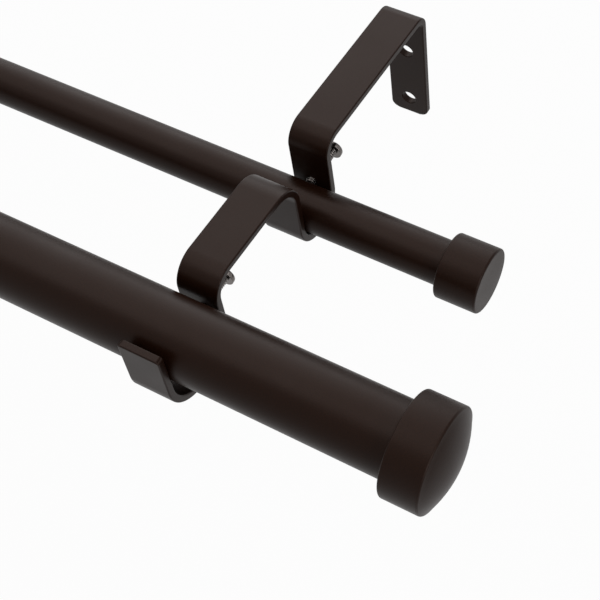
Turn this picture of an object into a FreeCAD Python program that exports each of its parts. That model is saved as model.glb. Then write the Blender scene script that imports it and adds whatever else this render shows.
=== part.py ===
import FreeCAD, Part
import math
import os

from FreeCAD import Vector

# Double curtain pole with two bent-strip wall brackets.
# Millimetres. X runs along the poles, +Y points at the wall, +Z is up.
# The origin is the middle of the near bracket's two wall-screw holes, on the wall face.
# Plate and stems are upright, and the arms rise a little from the wall to the room.

# Bracket strip
strip_w = 15.2
strip_t = 2.7
edge_chamfer = 0.35
strip_end_r = 1.2
arm_rise_deg = 4.1
bracket_spacing = 514.4

# Wall plate
hole_pitch = 25.8
wall_hole_d = 5.7
plate_below_hole = 7.8
plate_corner_r = 3.2

# Arms, as the heights where their tops would meet the wall, and the inside radii of the bends
rear_arm_top_z = 33.5
front_arm_top_z = 35.7
wall_bend_r = 3.2
rear_drop_bend_r = 4.8
rise_bend_r = 9.5
front_drop_bend_r = 6.6

# Poles: place of each axis, outer tubes, sliding inner tubes
front_pole_y = -152.47
front_pole_z = 34.17
front_tube_d = 25.4
rear_pole_y = -79.92
rear_pole_z = 13.9
rear_tube_d = 15.9
tube_wall = 0.8
inner_tube_wall = 0.7
slide_clearance = 0.3
closed_gap = 0.5
inner_end_room = 40.0

# Cradles
clamped_gap = 0.05
rear_seat_r = 8.75
rear_cradle_z = 13.3
front_seat_r = 13.75
front_cradle_z = 26.4
front_wall_top_z = 45.5

# Front pole's end caps
front_cap_d = 34.5
front_cap_len = 13.3
front_cap_dome = 3.9
front_cap_offset = 81.2
front_cap_bore_depth = 11.0

# Rear pole's end caps
rear_cap_d = 22.7
rear_cap_len = 15.0
rear_cap_offset = 57.3
rear_cap_bore_depth = 12.0

cap_edge = 0.6
cap_dome_cuts = 3
cap_bore_clearance = 0.05

# Clamp screws
screw_d = 3.5
rear_screw_len = 15.6
front_screw_len = 16.5
rear_screw_z = 15.5
front_screw_z = 27.6
screw_head_d = 6.9
screw_head_h = 2.1
screw_hole_clearance = 0.06
recess_span = 3.6
recess_width = 0.8
recess_depth = 1.2

X_AXIS = Vector(1, 0, 0)
Y_AXIS = Vector(0, 1, 0)
ORIGIN = Vector(0, 0, 0)


def yz(y, z):
    return Vector(0, y, z)


def unit(vector):
    return vector * (1 / vector.Length)


def left_of(direction):
    """A quarter turn to the left of a direction in the side view."""
    return yz(-direction.z, direction.y)


def arm_corner(y, top_at_wall):
    """Corner of the centre line under a rising arm's top, at a place out from the wall."""
    rise = math.radians(arm_rise_deg)
    return yz(y, top_at_wall - strip_t / 2 / math.cos(rise) - y * math.tan(rise))


def strip_corners():
    """Corners of the strip's centre line in the side view, wall plate first, with bend radii."""
    half = strip_t / 2
    rear_r = rear_seat_r + half
    front_r = front_seat_r + half
    rear_y = rear_pole_y - rear_tube_d / 2 - clamped_gap + rear_seat_r
    front_y = front_pole_y - front_tube_d / 2 - clamped_gap + front_seat_r
    return [
        (yz(-half, -hole_pitch / 2 - plate_below_hole), 0),
        (arm_corner(-half, rear_arm_top_z), wall_bend_r + half),
        (arm_corner(rear_y + rear_r, rear_arm_top_z), rear_drop_bend_r + half),
        (yz(rear_y + rear_r, rear_cradle_z - rear_r), rear_r),
        (yz(rear_y - rear_r, rear_cradle_z - rear_r), rear_r),
        (arm_corner(rear_y - rear_r, front_arm_top_z), rise_bend_r + half),
        (arm_corner(front_y + front_r, front_arm_top_z), front_drop_bend_r + half),
        (yz(front_y + front_r, front_cradle_z - front_r), front_r),
        (yz(front_y - front_r, front_cradle_z - front_r), front_r),
        (yz(front_y - front_r, front_wall_top_z), 0),
    ]


def face_edges(corners, offset):
    """Lines and arcs of one face of the strip, offset to the left of its centre line."""
    points = [point for point, radius in corners]
    ahead = unit(points[1] - points[0])
    here = points[0] + left_of(ahead) * offset
    edges = []
    for number in range(1, len(points) - 1):
        corner, radius = corners[number]
        onward = unit(points[number + 1] - corner)
        side = math.copysign(1, left_of(ahead).dot(onward))
        reach = radius * math.tan(ahead.getAngle(onward) / 2)
        start = corner - ahead * reach
        end = corner + onward * reach
        centre = start + left_of(ahead) * (side * radius)
        arc_start = start + left_of(ahead) * offset
        arc_middle = centre + unit(corner - centre) * (radius - side * offset)
        arc_end = end + left_of(onward) * offset
        if here.distanceToPoint(arc_start) > 0.001:
            edges.append(Part.makeLine(here, arc_start))
        edges.append(Part.Arc(arc_start, arc_middle, arc_end).toShape())
        here = arc_end
        ahead = onward
    edges.append(Part.makeLine(here, points[-1] + left_of(ahead) * offset))
    return edges


def strip_solid(corners):
    """The strip's side outline, extruded over its width."""
    left = face_edges(corners, strip_t / 2)
    right = face_edges(corners, -strip_t / 2)
    plate_end = Part.makeLine(left[0].Vertexes[0].Point, right[0].Vertexes[0].Point)
    free_end = Part.makeLine(left[-1].Vertexes[-1].Point, right[-1].Vertexes[-1].Point)
    outline = Part.Wire(Part.__sortEdges__(left + right + [plate_end, free_end]))
    solid = Part.Face(outline).extrude(Vector(strip_w, 0, 0))
    solid.translate(Vector(-strip_w / 2, 0, 0))
    return solid


def end_edges(solid, end_point):
    """The two short edges through the strip's thickness at one of its cut ends."""
    found = []
    for edge in solid.Edges:
        middle = edge.CenterOfMass
        off_end = math.hypot(middle.y - end_point.y, middle.z - end_point.z)
        if abs(edge.Length - strip_t) < 0.01 and off_end < 0.01:
            found.append(edge)
    return found


def flank_edges(solid):
    """Edges of the strip's two flat flanks."""
    found = []
    for edge in solid.Edges:
        box = edge.BoundBox
        if box.XLength < 0.01 and abs(abs(box.XMin) - strip_w / 2) < 0.01:
            found.append(edge)
    return found


def hole_cutter(y_from, y_to, radius, z):
    return Part.makeCylinder(radius, y_to - y_from, Vector(0, y_from, z), Y_AXIS)


def bracket():
    """One bracket: plate, rear arm and cradle, front arm and cradle, bent from one strip."""
    corners = strip_corners()
    solid = strip_solid(corners)
    solid = solid.makeFillet(plate_corner_r, end_edges(solid, corners[0][0]))
    solid = solid.makeFillet(strip_end_r, end_edges(solid, corners[-1][0]))
    solid = solid.makeChamfer(edge_chamfer, flank_edges(solid))
    tapped_r = screw_d / 2 + screw_hole_clearance
    for pole_y, pole_r, z in (
        (rear_pole_y, rear_tube_d / 2, rear_screw_z),
        (front_pole_y, front_tube_d / 2, front_screw_z),
    ):
        solid = solid.cut(hole_cutter(pole_y, pole_y + pole_r + 3 * strip_t, tapped_r, z))
    for z in (-hole_pitch / 2, hole_pitch / 2):
        solid = solid.cut(hole_cutter(-2 * strip_t, strip_t, wall_hole_d / 2, z))
    return solid


def tube(x_from, x_to, outer_d, wall):
    start = Vector(x_from, 0, 0)
    outside = Part.makeCylinder(outer_d / 2, x_to - x_from, start, X_AXIS)
    inside = Part.makeCylinder(outer_d / 2 - wall, x_to - x_from, start, X_AXIS)
    return outside.cut(inside)


def dome_points(face_x, face_r, dome):
    """Points from the middle of a shallow dome out to its rim, on an arc of few straight cuts."""
    dome_r = (face_r ** 2 + dome ** 2) / (2 * dome)
    full_angle = math.asin(face_r / dome_r)
    points = []
    for cut in range(cap_dome_cuts):
        angle = full_angle * cut / cap_dome_cuts
        points.append(Vector(face_x + dome - dome_r * (1 - math.cos(angle)), 0, dome_r * math.sin(angle)))
    return points


def cap(rim_x, pole_d, sizes):
    """A slip-on end cap that faces +X, with its open back rim at rim_x."""
    diameter, length, dome, bore_depth = sizes
    r = diameter / 2
    face_r = r - cap_edge
    bore_r = pole_d / 2 + cap_bore_clearance

    def at(x, radius):
        return Vector(x, 0, radius)

    points = [
        at(bore_depth, 0),
        at(bore_depth, bore_r),
        at(0, bore_r),
        at(0, r - cap_edge),
        at(cap_edge, r),
        at(length - cap_edge, r),
        at(length, face_r),
    ]
    if dome > 0:
        points += reversed(dome_points(length, face_r, dome))
    else:
        points.append(at(length, 0))
    solid = Part.Face(Part.makePolygon(points + points[:1])).revolve(ORIGIN, X_AXIS, 360)
    solid.translate(Vector(rim_x, 0, 0))
    return solid


def clamp_screw(length):
    """A cross-recess machine screw along +Y with its tip at y = 0 and its head at the far end."""
    top_y = length + screw_head_h
    shank = Part.makeCylinder(screw_d / 2, length, ORIGIN, Y_AXIS)
    head = Part.makeCylinder(screw_head_d / 2, screw_head_h, Vector(0, length, 0), Y_AXIS)
    solid = shank.fuse(head)
    for size_x, size_z in ((recess_span, recess_width), (recess_width, recess_span)):
        corner = Vector(-size_x / 2, top_y - recess_depth, -size_z / 2)
        solid = solid.cut(Part.makeBox(size_x, recess_depth, size_z, corner))
    return solid


def tip_reach(pole_d, height_apart):
    """How far behind a pole's axis a screw's flat tip meets it, at a height above or below it."""
    nearest = max(0.0, abs(height_apart) - screw_d / 2)
    return math.sqrt((pole_d / 2) ** 2 - nearest ** 2) + clamped_gap


def screw_behind(pole_y, pole_z, pole_d, screw_z, length):
    """A clamp screw whose tip meets the back of a pole."""
    solid = clamp_screw(length)
    solid.translate(Vector(0, pole_y + tip_reach(pole_d, pole_z - screw_z), screw_z))
    return solid


def save(shape, node, x=0):
    shape.translate(Vector(x, 0, 0))
    shape.exportStep("parts/" + node + ".step")


def save_pole(name, y, z, outer_d, near_rim, cap_sizes):
    """One pole: outer tube, sliding inner tube and the two caps."""
    bore_depth = cap_sizes[-1]
    inner_d = outer_d - 2 * tube_wall - 2 * slide_clearance
    far_rim = -bracket_spacing - near_rim
    near_end = near_rim + bore_depth
    far_end = far_rim - bore_depth
    pieces = [
        ("outer_tube", tube(far_rim + closed_gap, near_end, outer_d, tube_wall)),
        ("inner_tube", tube(far_end, near_end - inner_end_room, inner_d, inner_tube_wall)),
        ("near_cap", cap(near_rim, outer_d, cap_sizes)),
        ("far_cap", cap(-far_rim, inner_d, cap_sizes).mirror(ORIGIN, X_AXIS)),
    ]
    for piece, shape in pieces:
        shape.translate(yz(y, z))
        save(shape, name + "_" + piece)


def save_bracket(name, x):
    """One bracket with its two clamp screws."""
    rear = (rear_pole_y, rear_pole_z, rear_tube_d, rear_screw_z, rear_screw_len)
    front = (front_pole_y, front_pole_z, front_tube_d, front_screw_z, front_screw_len)
    save(bracket(), name + "_bracket", x)
    save(screw_behind(*rear), name + "_rear_screw", x)
    save(screw_behind(*front), name + "_front_screw", x)


os.makedirs("parts", exist_ok=True)
save_bracket("near", 0)
save_bracket("far", -bracket_spacing)
front_cap = (front_cap_d, front_cap_len, front_cap_dome, front_cap_bore_depth)
rear_cap = (rear_cap_d, rear_cap_len, 0, rear_cap_bore_depth)
save_pole("front", front_pole_y, front_pole_z, front_tube_d, front_cap_offset, front_cap)
save_pole("rear", rear_pole_y, rear_pole_z, rear_tube_d, rear_cap_offset, rear_cap)
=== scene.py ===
"""Looks of the double curtain pole: powder-coated poles, caps and brackets, and threaded clamp screws.

Lengths of the object are millimetres in the mounted frame, as in the part's source, and to_frame()
scales a mesh made there to the frame's metres. Camera, floor, lamps and grain are in metres.
"""

import math

import bmesh
import bpy
from mathutils import Matrix, Vector


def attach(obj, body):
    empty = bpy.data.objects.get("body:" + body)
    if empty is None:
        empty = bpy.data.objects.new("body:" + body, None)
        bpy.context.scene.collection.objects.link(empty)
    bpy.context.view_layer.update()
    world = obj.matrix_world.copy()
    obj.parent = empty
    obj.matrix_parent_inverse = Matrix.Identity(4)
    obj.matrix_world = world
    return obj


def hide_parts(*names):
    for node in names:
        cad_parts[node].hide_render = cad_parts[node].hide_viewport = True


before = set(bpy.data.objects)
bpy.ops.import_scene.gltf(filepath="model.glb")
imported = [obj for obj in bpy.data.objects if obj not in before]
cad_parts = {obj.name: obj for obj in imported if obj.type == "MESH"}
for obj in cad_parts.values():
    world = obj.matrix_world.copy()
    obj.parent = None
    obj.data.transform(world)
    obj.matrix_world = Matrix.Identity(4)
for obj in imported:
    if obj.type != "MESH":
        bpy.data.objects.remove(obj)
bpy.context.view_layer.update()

MM = 0.001

# Bracket strip, corners and bend radii as in the part's source
strip_w = 15.2
strip_t = 2.7
strip_edge_r = 0.5
strip_end_r = 1.2
arm_rise_deg = 4.1
bracket_spacing = 514.4
hole_pitch = 25.8
wall_hole_d = 5.7
wall_hole_lip = 0.25
tapped_hole_lip = 0.2
plate_below_hole = 7.8
plate_corner_r = 3.2
rear_arm_top_z = 33.5
front_arm_top_z = 35.7
wall_bend_r = 3.2
rear_drop_bend_r = 4.8
rise_bend_r = 9.5
front_drop_bend_r = 6.6
rear_seat_r = 8.75
rear_cradle_z = 13.3
front_seat_r = 13.75
front_cradle_z = 26.4
front_wall_top_z = 45.5
clamped_gap = 0.05

# Poles
front_pole_y = -152.47
front_pole_z = 34.17
front_tube_d = 25.4
rear_pole_y = -79.92
rear_pole_z = 13.9
rear_tube_d = 15.9
tube_wall = 0.8
inner_tube_wall = 0.7
slide_clearance = 0.3
closed_gap = 0.5
inner_end_room = 40.0
tube_edge_r = 0.15

# Caps
front_cap_d = 34.5
front_cap_len = 13.3
front_cap_dome = 3.9
front_cap_offset = 81.2
front_cap_bore_depth = 11.0
front_cap_edge_r = 0.9
rear_cap_d = 22.7
rear_cap_len = 15.0
rear_cap_offset = 57.3
rear_cap_bore_depth = 12.0
rear_cap_edge_r = 0.8
cap_back_edge_r = 0.6
cap_bore_clearance = 0.05
cap_bore_edge_r = 0.25

# Clamp screws
screw_d = 3.5
screw_pitch = 0.8
thread_depth = 0.45
rear_screw_len = 15.6
front_screw_len = 16.5
rear_screw_z = 15.5
front_screw_z = 27.6
screw_head_d = 6.9
screw_head_h = 2.1
screw_head_edge_r = 1.1
screw_head_low_r = 0.15
screw_hole_clearance = 0.06
recess_span = 3.6
recess_width = 0.8
recess_depth = 1.2

# How finely the round forms are divided
around_pole = 128
around_hole = 64
around_thread = 32
rows_per_thread = 6
bend_step_deg = 3.0
edge_steps = 5
cap_face_rings = 12
weld_distance = 1e-4
collapsed_length = 1e-5

# Numbers of the stems' upper corners in strip_corners()
rear_stem_corner = 2
front_stem_corner = 6

# How far the cutters of the holes stand out of the strip
cutter_beyond = 2.0

# Powder coat: colours are linear, and noise scales are per metre
coat_color = (0.0077, 0.0025, 0.001)
coat_gloss_tint = (1, 0.82, 0.754)
coat_gloss_level = 0.12
bracket_roughness = 0.38
pole_roughness = 0.38
cap_roughness = 0.4
coat_smoother = 0.02
coat_rougher = 0.03
coat_cloud_scale = 60
coat_cloud_detail = 2
coat_grain_scale = 2600
coat_grain_detail = 3
coat_grain_from = 0.35
coat_grain_to = 0.65
coat_dark_share = 0.78
coat_light_share = 1.25
coat_bump_strength = 0.35
coat_bump_height = 0.00006

# Plated steel of the screws
steel_color = (0.12, 0.108, 0.102)
steel_roughness = 0.16
steel_smoother = 0.08
steel_rougher = 0.1
steel_grain_scale = 1500
steel_grain_detail = 3
steel_grain_from = 0.3
steel_grain_to = 0.7
steel_dark_share = 0.8
steel_light_share = 1.2

# Where most of a noise's values lie
noise_low = 0.3
noise_high = 0.7

# Camera in metres, as fitted to the photograph's outlines, with its lens and sensor in millimetres
camera_place = (0.185835, -0.310944, 0.404485)
camera_tilt_deg = 3.66
camera_azimuth_deg = 36.688
camera_elevation_deg = 53.7326
camera_roll_deg = -7.2914
camera_lens = 86.12
sensor_width = 36.0
camera_clip_end = 20

# Studio floor and world: half the floor's side, and the share of plain white that is seen on it
floor_z = -0.35
floor_half_side = 30
floor_white = 0.95
white = (1, 1, 1)
paper_color = (0.8, 0.8, 0.8)
world_light = 0.02

# Softboxes: name, toward +X, lean to the room, size in X, size across, and radiance
lamp_centre = (-0.06, -0.11, 0.02)
lamp_distance = 1.3
softboxes = (
    ("wall_softbox", -0.36, -49, 0.9, 1.6, 2.4),
    ("overhead_softbox", -0.36, 8, 0.9, 0.95, 2.23),
    ("side_softbox", 0.5, 0, 0.8, 1.4, 1.0),
    ("end_softbox", 0.86, 45, 0.5, 0.7, 5.33),
)

X_AXIS = Vector((1, 0, 0))


def to_frame(mesh, x=0.0):
    """Shifts a mesh along the poles and scales it to metres."""
    mesh.transform(Matrix.Scale(MM, 4) @ Matrix.Translation((x, 0, 0)))
    return mesh


def mesh_from(name, bm):
    """A mesh from a bmesh, welded, with its faces turned outwards and smooth."""
    bmesh.ops.remove_doubles(bm, verts=bm.verts, dist=weld_distance)
    bmesh.ops.dissolve_degenerate(bm, dist=collapsed_length, edges=bm.edges)
    bmesh.ops.recalc_face_normals(bm, faces=bm.faces)
    for face in bm.faces:
        face.smooth = True
    mesh = bpy.data.meshes.new(name)
    bm.to_mesh(mesh)
    bm.free()
    return mesh


def arc_points(centre, radius, from_deg, to_deg, steps):
    """Points of an arc in a plane, both ends included."""
    points = []
    for step in range(steps + 1):
        angle = math.radians(from_deg + (to_deg - from_deg) * step / steps)
        points.append((centre[0] + radius * math.cos(angle), centre[1] + radius * math.sin(angle)))
    return points


# Bracket


def left_of(direction):
    """A quarter turn to the left in the side view, where vectors are (0, y, z)."""
    return Vector((0, -direction.z, direction.y))


def arm_corner(y, top_at_wall):
    """Corner of the centre line under a rising arm's top, at a place out from the wall."""
    rise = math.radians(arm_rise_deg)
    return Vector((0, y, top_at_wall - strip_t / 2 / math.cos(rise) - y * math.tan(rise)))


def strip_corners():
    """Corners of the strip's centre line in the side view, wall plate first, with bend radii."""
    half = strip_t / 2
    rear_r = rear_seat_r + half
    front_r = front_seat_r + half
    rear_y = rear_pole_y - rear_tube_d / 2 - clamped_gap + rear_seat_r
    front_y = front_pole_y - front_tube_d / 2 - clamped_gap + front_seat_r
    return [
        (Vector((0, -half, -hole_pitch / 2 - plate_below_hole)), 0),
        (arm_corner(-half, rear_arm_top_z), wall_bend_r + half),
        (arm_corner(rear_y + rear_r, rear_arm_top_z), rear_drop_bend_r + half),
        (Vector((0, rear_y + rear_r, rear_cradle_z - rear_r)), rear_r),
        (Vector((0, rear_y - rear_r, rear_cradle_z - rear_r)), rear_r),
        (arm_corner(rear_y - rear_r, front_arm_top_z), rise_bend_r + half),
        (arm_corner(front_y + front_r, front_arm_top_z), front_drop_bend_r + half),
        (Vector((0, front_y + front_r, front_cradle_z - front_r)), front_r),
        (Vector((0, front_y - front_r, front_cradle_z - front_r)), front_r),
        (Vector((0, front_y - front_r, front_wall_top_z)), 0),
    ]


def centre_line(corners):
    """Points along the centre line with the left side there: both ends of each bend, and steps in between."""
    stations = [(corners[0][0], left_of((corners[1][0] - corners[0][0]).normalized()))]
    for before, (corner, radius), after in zip(corners, corners[1:], corners[2:]):
        ahead = (corner - before[0]).normalized()
        onward = (after[0] - corner).normalized()
        angle = ahead.angle(onward)
        side = math.copysign(1, left_of(ahead).dot(onward))
        start = corner - ahead * (radius * math.tan(angle / 2))
        centre = start + left_of(ahead) * (side * radius)
        steps = max(2, round(math.degrees(angle) / bend_step_deg))
        for step in range(steps + 1):
            turned = Matrix.Rotation(side * angle * step / steps, 3, "X") @ left_of(ahead)
            stations.append((centre - turned * (side * radius), turned))
    last = left_of((corners[-1][0] - corners[-2][0]).normalized())
    stations.append((corners[-1][0], last))
    return stations


def end_insets(corner_r):
    """How the strip narrows towards a cut end: (distance from the end, side inset, edge radius left)."""
    steps = 4 * edge_steps
    core_r = corner_r - strip_edge_r
    rows = []
    for step in range(edge_steps):
        angle = math.pi / 2 * step / edge_steps
        rows.append((strip_edge_r * (1 - math.cos(angle)), core_r, strip_edge_r * math.sin(angle)))
    for step in range(steps):
        angle = math.pi / 2 * step / steps
        distance = strip_edge_r + core_r * (1 - math.cos(angle))
        rows.append((distance, core_r * (1 - math.sin(angle)), strip_edge_r))
    return rows


def section(place, left, side_inset, edge_r):
    """The strip's rounded cross-section at a place of its centre line."""
    core_w = strip_w / 2 - strip_edge_r - side_inset
    core_t = strip_t / 2 - strip_edge_r
    ring = []
    for number, (sign_x, sign_t) in enumerate(((1, 1), (-1, 1), (-1, -1), (1, -1))):
        corner = (sign_x * core_w, sign_t * core_t)
        from_deg = 90 * number
        for across, out in arc_points(corner, edge_r, from_deg, from_deg + 90, edge_steps):
            ring.append(place + X_AXIS * across + left * out)
    return ring


def strip_mesh():
    """The bent strip without holes, swept along its centre line, with rounded edges and corners."""
    line = centre_line(strip_corners())
    (first, first_left), (last, last_left) = line[0], line[-1]
    into = (line[1][0] - first).normalized()
    back = (line[-2][0] - last).normalized()
    rings = []
    for distance, inset, edge_r in end_insets(plate_corner_r):
        rings.append(section(first + into * distance, first_left, inset, edge_r))
    for place, left in line[1:-1]:
        rings.append(section(place, left, 0, strip_edge_r))
    for distance, inset, edge_r in reversed(end_insets(strip_end_r)):
        rings.append(section(last + back * distance, last_left, inset, edge_r))
    return skin("strip", rings)


def skin(name, rings):
    """Faces between rings of points. The first and last ring are filled with a flat face."""
    bm = bmesh.new()
    made = [[bm.verts.new(point) for point in ring] for ring in rings]
    bm.faces.new(made[0])
    bm.faces.new(made[-1])
    for ring, after in zip(made, made[1:]):
        for number in range(len(ring)):
            back = number - 1
            bm.faces.new((ring[back], ring[number], after[number], after[back]))
    return mesh_from(name, bm)


def turned_mesh(name, outline, around, on_axis=False):
    """A form turned round the X axis, from a closed outline of (x, radius) points."""
    rings = []
    for step in range(around):
        angle = 2 * math.pi * step / around
        rings.append([(x, r * math.cos(angle), r * math.sin(angle)) for x, r in outline])
    bm = bmesh.new()
    made = [[bm.verts.new(point) for point in ring] for ring in rings]
    last = len(outline) - 1 if on_axis else len(outline)
    for step in range(around):
        here, before = made[step], made[step - 1]
        for number in range(last):
            after = (number + 1) % len(outline)
            bm.faces.new((before[number], before[after], here[after], here[number]))
    return mesh_from(name, bm)


def hole_cutter(near_face, far_face, radius, lip):
    """A turned cutter along X whose hole has rounded lips at both faces."""
    outline = [(near_face - cutter_beyond, 0), (near_face - cutter_beyond, radius + lip)]
    outline += [(near_face + lip - x, r) for x, r in lip_points(radius, lip)]
    outline += [(far_face - lip + x, r) for x, r in reversed(lip_points(radius, lip))]
    outline += [(far_face + cutter_beyond, radius + lip), (far_face + cutter_beyond, 0)]
    return turned_mesh("cutter", outline, around_hole, on_axis=True)


def lip_points(radius, lip):
    """A lip's quarter arc as (distance out of the hole, radius), widest first."""
    points = []
    for step in range(edge_steps + 1):
        angle = math.pi / 2 * step / edge_steps
        points.append((lip * math.cos(angle), radius + lip * (1 - math.sin(angle))))
    return points


def cut(body, cutter):
    """Takes the cutter's form out of the body's mesh, and removes the cutter."""
    modifier = body.modifiers.new("cut", "BOOLEAN")
    modifier.operation = "DIFFERENCE"
    modifier.solver = "EXACT"
    modifier.object = cutter
    graph = bpy.context.evaluated_depsgraph_get()
    made = bpy.data.meshes.new_from_object(body.evaluated_get(graph))
    body.modifiers.remove(modifier)
    body.data = made
    bpy.data.objects.remove(cutter)


def linked(name, mesh):
    """An object of a mesh, linked to the scene."""
    made = bpy.data.objects.new(name, mesh)
    bpy.context.scene.collection.objects.link(made)
    return made


def along_y(mesh, y, z):
    """Lays a form made along X along +Y instead, at a height."""
    mesh.transform(Matrix.Translation((0, y, z)) @ Matrix.Rotation(math.pi / 2, 4, "Z"))
    return mesh


def bracket_mesh():
    """The strip, tapped through its two stems and drilled through its wall plate."""
    body = linked("strip", strip_mesh())
    corners = strip_corners()
    tapped_r = screw_d / 2 + screw_hole_clearance
    for number, z in ((rear_stem_corner, rear_screw_z), (front_stem_corner, front_screw_z)):
        stem_y = corners[number][0].y
        cutter = hole_cutter(-strip_t / 2, strip_t / 2, tapped_r, tapped_hole_lip)
        cut(body, linked("tapped", along_y(cutter, stem_y, z)))
    for z in (-hole_pitch / 2, hole_pitch / 2):
        cutter = hole_cutter(-strip_t, 0, wall_hole_d / 2, wall_hole_lip)
        cut(body, linked("drilled", along_y(cutter, 0, z)))
    mesh = body.data
    bpy.data.objects.remove(body)
    return mesh


# Poles and caps


def tube_mesh(x_from, x_to, outer_d, wall):
    """A tube along X with slightly rounded cut edges."""
    outer, inner, r = outer_d / 2, outer_d / 2 - wall, tube_edge_r
    outline = arc_points((x_from + r, outer - r), r, 90, 180, edge_steps)
    outline += arc_points((x_from + r, inner + r), r, 180, 270, edge_steps)
    outline += arc_points((x_to - r, inner + r), r, 270, 360, edge_steps)
    outline += arc_points((x_to - r, outer - r), r, 0, 90, edge_steps)
    return turned_mesh("tube", outline, around_pole)


def cap_mesh(pole_d, sizes):
    """A slip-on end cap along +X, with its open back rim at x = 0."""
    diameter, length, dome, bore_depth, edge_r = sizes
    r = diameter / 2
    bore_r = pole_d / 2 + cap_bore_clearance
    back, lip = cap_back_edge_r, cap_bore_edge_r
    outline = [(bore_depth, 0), (bore_depth, bore_r)]
    outline += arc_points((lip, bore_r + lip), lip, 270, 180, edge_steps)
    outline += arc_points((back, r - back), back, 180, 90, edge_steps)
    outline += arc_points((length - edge_r, r - edge_r), edge_r, 90, 0, edge_steps)
    outline += face_points(length, r - edge_r, dome)
    return turned_mesh("cap", outline, around_pole, on_axis=True)


def face_points(face_x, face_r, dome):
    """The cap's front from its rim to its middle, flat or as a shallow dome."""
    points = []
    for step in range(1, cap_face_rings + 1):
        outward = (cap_face_rings - step) / cap_face_rings
        if dome > 0:
            dome_r = (face_r ** 2 + dome ** 2) / (2 * dome)
            angle = math.asin(face_r / dome_r) * outward
            points.append((face_x + dome - dome_r * (1 - math.cos(angle)), dome_r * math.sin(angle)))
        else:
            points.append((face_x, face_r * outward))
    return points


# Clamp screws


def thread_rings(length):
    """Rings that follow the thread's own helix, flat at the tip and at the head."""
    root, crest = screw_d / 2 - thread_depth, screw_d / 2
    flank = (root + crest) / 2
    profile = (crest, crest, flank, root, root, flank)
    turns = math.ceil(length / screw_pitch) + 1
    rings = []
    for row in range(-rows_per_thread, turns * rows_per_thread):
        ring = []
        for step in range(around_thread + 1):
            part_turn = step / around_thread
            x = (row / rows_per_thread + part_turn) * screw_pitch
            x = min(max(x, 0), length)
            radius = profile[row % rows_per_thread]
            tip_r = root + min(x, thread_depth)
            angle = 2 * math.pi * part_turn
            radius = min(radius, tip_r)
            ring.append((x, radius * math.cos(angle), radius * math.sin(angle)))
        rings.append(ring)
    return rings


def shank_mesh(length):
    """The threaded shank along X from its tip at x = 0."""
    bm = bmesh.new()
    made = [[bm.verts.new(point) for point in ring] for ring in thread_rings(length)]
    for ring, after in zip(made, made[1:]):
        for step in range(around_thread):
            bm.faces.new((ring[step], ring[step + 1], after[step + 1], after[step]))
    root = screw_d / 2 - thread_depth
    for x in (0, length):
        rim = [bm.verts.new((x, root * math.cos(a), root * math.sin(a))) for a in angles(around_thread)]
        bm.faces.new(rim)
    return mesh_from("shank", bm)


def angles(count):
    """Evenly spaced angles round a circle."""
    return [2 * math.pi * step / count for step in range(count)]


def head_mesh(length):
    """The pan head with a cross recess, on a shank of a length."""
    r, edge_r, top = screw_head_d / 2, screw_head_edge_r, length + screw_head_h
    low_r = screw_head_low_r
    outline = [(length, 0)]
    outline += arc_points((length + low_r, r - low_r), low_r, 180, 90, edge_steps)
    outline += arc_points((top - edge_r, r - edge_r), edge_r, 90, 0, 2 * edge_steps)
    outline += [(top, 0)]
    head = linked("head", turned_mesh("head", outline, around_hole, on_axis=True))
    for size_y, size_z in ((recess_span, recess_width), (recess_width, recess_span)):
        bm = bmesh.new()
        bmesh.ops.create_cube(bm, size=1)
        mesh = mesh_from("recess", bm)
        size = Matrix.Diagonal((2 * recess_depth, size_y, size_z, 1))
        mesh.transform(Matrix.Translation((top, 0, 0)) @ size)
        cut(head, linked("recess", mesh))
    mesh = head.data
    bpy.data.objects.remove(head)
    return mesh


def screw_mesh(length):
    """Shank and head in one mesh, along X."""
    bm = bmesh.new()
    bm.from_mesh(shank_mesh(length))
    bm.from_mesh(head_mesh(length))
    mesh = bpy.data.meshes.new("screw")
    bm.to_mesh(mesh)
    bm.free()
    return mesh


def tip_reach(pole_d, height_apart):
    """How far behind a pole's axis a screw's flat tip meets it, at a height above or below it."""
    nearest = max(0.0, abs(height_apart) - screw_d / 2)
    return math.sqrt((pole_d / 2) ** 2 - nearest ** 2) + clamped_gap


# Materials


def new_material(name, color, roughness, metallic=0.0):
    """A principled material. Returns the material, its node tree and its shader."""
    material = bpy.data.materials.new(name)
    material.use_nodes = True
    nodes = material.node_tree.nodes
    shader = nodes["Principled BSDF"]
    shader.inputs["Base Color"].default_value = (*color, 1)
    shader.inputs["Roughness"].default_value = roughness
    shader.inputs["Metallic"].default_value = metallic
    return material, material.node_tree, shader


def noise(tree, scale, detail):
    """A noise in the object's own coordinates."""
    place = tree.nodes.get("Texture Coordinate") or tree.nodes.new("ShaderNodeTexCoord")
    texture = tree.nodes.new("ShaderNodeTexNoise")
    texture.inputs["Scale"].default_value = scale
    texture.inputs["Detail"].default_value = detail
    tree.links.new(place.outputs["Object"], texture.inputs["Vector"])
    return texture


def ramp(tree, source, low, high, low_color, high_color):
    """Colour between two values of a source."""
    node = tree.nodes.new("ShaderNodeValToRGB")
    node.color_ramp.elements[0].position = low
    node.color_ramp.elements[0].color = (*low_color, 1)
    node.color_ramp.elements[1].position = high
    node.color_ramp.elements[1].color = (*high_color, 1)
    tree.links.new(source, node.inputs["Fac"])
    return node


def spread(tree, source, low, high):
    """A value spread over a range by a noise."""
    node = tree.nodes.new("ShaderNodeMapRange")
    node.inputs["From Min"].default_value = noise_low
    node.inputs["From Max"].default_value = noise_high
    node.inputs["To Min"].default_value = low
    node.inputs["To Max"].default_value = high
    tree.links.new(source, node.inputs["Value"])
    return node


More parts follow.
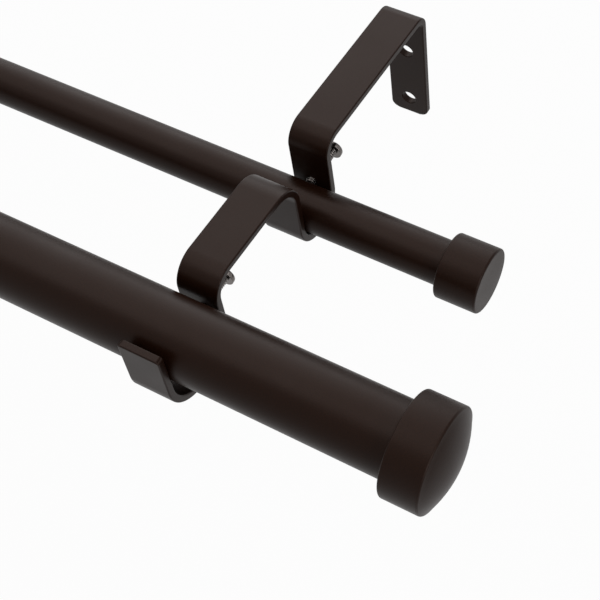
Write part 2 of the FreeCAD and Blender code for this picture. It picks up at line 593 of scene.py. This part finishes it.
def powder_coat(name, roughness):
    """Satin powder coat: a fine grain in its colour and surface, and clouds in its gloss."""
    material, tree, shader = new_material(name, coat_color, roughness)
    shader.inputs["Specular Tint"].default_value = (*coat_gloss_tint, 1)
    shader.inputs["Specular IOR Level"].default_value = coat_gloss_level
    grain = noise(tree, coat_grain_scale, coat_grain_detail)
    cloud = noise(tree, coat_cloud_scale, coat_cloud_detail)
    darker = [channel * coat_dark_share for channel in coat_color]
    lighter = [channel * coat_light_share for channel in coat_color]
    shade = ramp(tree, grain.outputs["Fac"], coat_grain_from, coat_grain_to, darker, lighter)
    tree.links.new(shade.outputs["Color"], shader.inputs["Base Color"])
    gloss = spread(tree, cloud.outputs["Fac"], roughness - coat_smoother, roughness + coat_rougher)
    tree.links.new(gloss.outputs["Result"], shader.inputs["Roughness"])
    bump = tree.nodes.new("ShaderNodeBump")
    bump.inputs["Strength"].default_value = coat_bump_strength
    bump.inputs["Distance"].default_value = coat_bump_height
    tree.links.new(grain.outputs["Fac"], bump.inputs["Height"])
    tree.links.new(bump.outputs["Normal"], shader.inputs["Normal"])
    return material


def plated_steel(name):
    """Dark plated steel with fine uneven gloss."""
    material, tree, shader = new_material(name, steel_color, steel_roughness, metallic=1.0)
    grain = noise(tree, steel_grain_scale, steel_grain_detail)
    smoothest, roughest = steel_roughness - steel_smoother, steel_roughness + steel_rougher
    gloss = spread(tree, grain.outputs["Fac"], smoothest, roughest)
    tree.links.new(gloss.outputs["Result"], shader.inputs["Roughness"])
    darker = [channel * steel_dark_share for channel in steel_color]
    lighter = [channel * steel_light_share for channel in steel_color]
    shade = ramp(tree, grain.outputs["Fac"], steel_grain_from, steel_grain_to, darker, lighter)
    tree.links.new(shade.outputs["Color"], shader.inputs["Base Color"])
    return material


finishes = {
    "bracket_finish": powder_coat("bracket_coat", bracket_roughness),
    "pole_finish": powder_coat("pole_coat", pole_roughness),
    "cap_finish": powder_coat("cap_coat", cap_roughness),
    "screw_steel": plated_steel("plated_steel"),
}


def piece(name, mesh, body, slot, node):
    """A finished piece: it rides on a body, takes a slot's finish and stands for a CAD node."""
    made = linked(name, mesh)
    mesh.materials.clear()
    mesh.materials.append(finishes[slot])
    for face in mesh.polygons:
        face.use_smooth = True
    weighted = made.modifiers.new("weighted_normals", "WEIGHTED_NORMAL")
    weighted.keep_sharp = True
    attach(made, body)
    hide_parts(node)


# Brackets and screws in place

bracket_form = bracket_mesh()
screws = (
    ("rear_screw", rear_pole_y, rear_pole_z, rear_tube_d, rear_screw_z, rear_screw_len),
    ("front_screw", front_pole_y, front_pole_z, front_tube_d, front_screw_z, front_screw_len),
)
for end, x in (("near", 0), ("far", -bracket_spacing)):
    mesh = to_frame(bracket_form.copy(), x)
    piece(end + "_bent_strip", mesh, "mounted", "bracket_finish", end + "_bracket")
    for name, pole_y, pole_z, pole_d, screw_z, length in screws:
        mesh = screw_mesh(length)
        tip_y = pole_y + tip_reach(pole_d, pole_z - screw_z)
        along_y(mesh, tip_y, screw_z)
        piece(end + "_threaded_" + name, to_frame(mesh, x), "mounted", "screw_steel", end + "_" + name)


# Poles in place


def place_pole(name, y, z, outer_d, near_rim, sizes):
    """Outer tube, sliding inner tube and both caps of one pole."""
    bore_depth = sizes[3]
    inner_d = outer_d - 2 * tube_wall - 2 * slide_clearance
    far_rim = -bracket_spacing - near_rim
    near_end = near_rim + bore_depth
    far_end = far_rim - bore_depth
    near_cap = cap_mesh(outer_d, sizes)
    near_cap.transform(Matrix.Translation((near_rim, 0, 0)))
    far_cap = cap_mesh(inner_d, sizes)
    far_cap.transform(Matrix.Translation((far_rim, 0, 0)) @ Matrix.Rotation(math.pi, 4, "Z"))
    slider = name + "_slider"
    outer = tube_mesh(far_rim + closed_gap, near_end, outer_d, tube_wall)
    inner = tube_mesh(far_end, near_end - inner_end_room, inner_d, inner_tube_wall)
    pieces = (
        ("outer_pole", outer, "mounted", "pole_finish", "outer_tube"),
        ("inner_pole", inner, slider, "pole_finish", "inner_tube"),
        ("near_end_cap", near_cap, "mounted", "cap_finish", "near_cap"),
        ("far_end_cap", far_cap, slider, "cap_finish", "far_cap"),
    )
    for suffix, mesh, body, slot, node in pieces:
        mesh.transform(Matrix.Translation((0, y, z)))
        piece(name + "_" + suffix, to_frame(mesh), body, slot, name + "_" + node)


front_cap = (front_cap_d, front_cap_len, front_cap_dome, front_cap_bore_depth, front_cap_edge_r)
rear_cap = (rear_cap_d, rear_cap_len, 0, rear_cap_bore_depth, rear_cap_edge_r)
place_pole("front", front_pole_y, front_pole_z, front_tube_d, front_cap_offset, front_cap)
place_pole("rear", rear_pole_y, rear_pole_z, rear_tube_d, rear_cap_offset, rear_cap)


# Stage: camera, floor, lamps and world


def add_camera():
    """The camera at the photograph's place, direction and focal length."""
    azimuth = math.radians(camera_azimuth_deg)
    elevation = math.radians(camera_elevation_deg)
    level = math.cos(elevation)
    back = Vector((math.sin(azimuth) * level, -math.cos(azimuth) * level, math.sin(elevation)))
    right = Vector((math.cos(azimuth), math.sin(azimuth), 0))
    up = back.cross(right)
    turn = Matrix((right, up, back)).transposed().to_4x4()
    roll = Matrix.Rotation(math.radians(camera_roll_deg), 4, "Z")
    tilt = Matrix.Rotation(math.radians(-camera_tilt_deg), 4, "X")
    camera = bpy.data.objects.new("camera", bpy.data.cameras.new("camera"))
    camera.data.sensor_width = sensor_width
    camera.data.lens = camera_lens
    camera.data.clip_end = camera_clip_end
    camera.matrix_world = Matrix.Translation(camera_place) @ tilt @ turn @ roll
    bpy.context.scene.collection.objects.link(camera)
    bpy.context.scene.camera = camera


def add_softbox(name, toward_x, lean_deg, size_x, size_across, radiance):
    """A soft lamp round the object, leaning from overhead to the room (+) or the wall (-), that faces it."""
    side = math.sqrt(1 - toward_x ** 2)
    lean = math.radians(lean_deg)
    back = Vector((toward_x, -side * math.sin(lean), side * math.cos(lean)))
    right = (X_AXIS - back * back.x).normalized()
    turn = Matrix((right, back.cross(right), back)).transposed().to_4x4()
    data = bpy.data.lights.new(name, "AREA")
    data.shape = "RECTANGLE"
    data.size = size_x
    data.size_y = size_across
    data.energy = radiance * math.pi * size_x * size_across
    lamp = bpy.data.objects.new(name, data)
    lamp.matrix_world = Matrix.Translation(Vector(lamp_centre) + back * lamp_distance) @ turn
    bpy.context.scene.collection.objects.link(lamp)


def white_where_seen(tree, lit, plain_white, out, share=1):
    """White for camera, glossy and transmission rays, so that reflections show the background too."""
    path = tree.nodes.new("ShaderNodeLightPath")
    seen = path.outputs["Is Camera Ray"]
    for kind in ("Is Glossy Ray", "Is Transmission Ray"):
        either = tree.nodes.new("ShaderNodeMath")
        either.operation = "ADD"
        either.use_clamp = True
        tree.links.new(seen, either.inputs[0])
        tree.links.new(path.outputs[kind], either.inputs[1])
        seen = either.outputs["Value"]
    factor = tree.nodes.new("ShaderNodeMath")
    factor.operation = "MULTIPLY"
    factor.inputs[1].default_value = share
    tree.links.new(seen, factor.inputs[0])
    blend = tree.nodes.new("ShaderNodeMixShader")
    tree.links.new(factor.outputs["Value"], blend.inputs["Fac"])
    tree.links.new(lit.outputs[0], blend.inputs[1])
    tree.links.new(plain_white.outputs[0], blend.inputs[2])
    tree.links.new(blend.outputs["Shader"], out.inputs["Surface"])


def plain(tree, kind, color, strength=None):
    """A stage shader of one colour."""
    node = tree.nodes.new(kind)
    node.inputs["Color"].default_value = (*color, 1)
    if strength is not None:
        node.inputs["Strength"].default_value = strength
    return node


def add_floor():
    """A white paper floor that keeps a small share of its own lit colour, and of the shadow in it."""
    material = bpy.data.materials.new("paper_floor")
    material.use_nodes = True
    tree = material.node_tree
    tree.nodes.clear()
    paper = plain(tree, "ShaderNodeBsdfDiffuse", paper_color)
    plain_white = plain(tree, "ShaderNodeEmission", white, 1)
    white_where_seen(tree, paper, plain_white, tree.nodes.new("ShaderNodeOutputMaterial"), floor_white)
    bm = bmesh.new()
    bmesh.ops.create_grid(bm, x_segments=1, y_segments=1, size=floor_half_side)
    floor = linked("paper_floor", mesh_from("paper_floor", bm))
    floor.location = (0, 0, floor_z)
    floor.data.materials.append(material)


def add_world():
    """White where it is seen, and a faint even light otherwise."""
    world = bpy.data.worlds.new("studio")
    world.use_nodes = True
    tree = world.node_tree
    tree.nodes.clear()
    lit = plain(tree, "ShaderNodeBackground", white, world_light)
    plain_white = plain(tree, "ShaderNodeBackground", white, 1)
    white_where_seen(tree, lit, plain_white, tree.nodes.new("ShaderNodeOutputWorld"))
    bpy.context.scene.world = world


add_camera()
bpy.context.scene.view_settings.view_transform = "Standard"
add_world()
add_floor()
for name, toward_x, lean_deg, size_x, size_across, radiance in softboxes:
    add_softbox(name, toward_x, lean_deg, size_x, size_across, radiance)
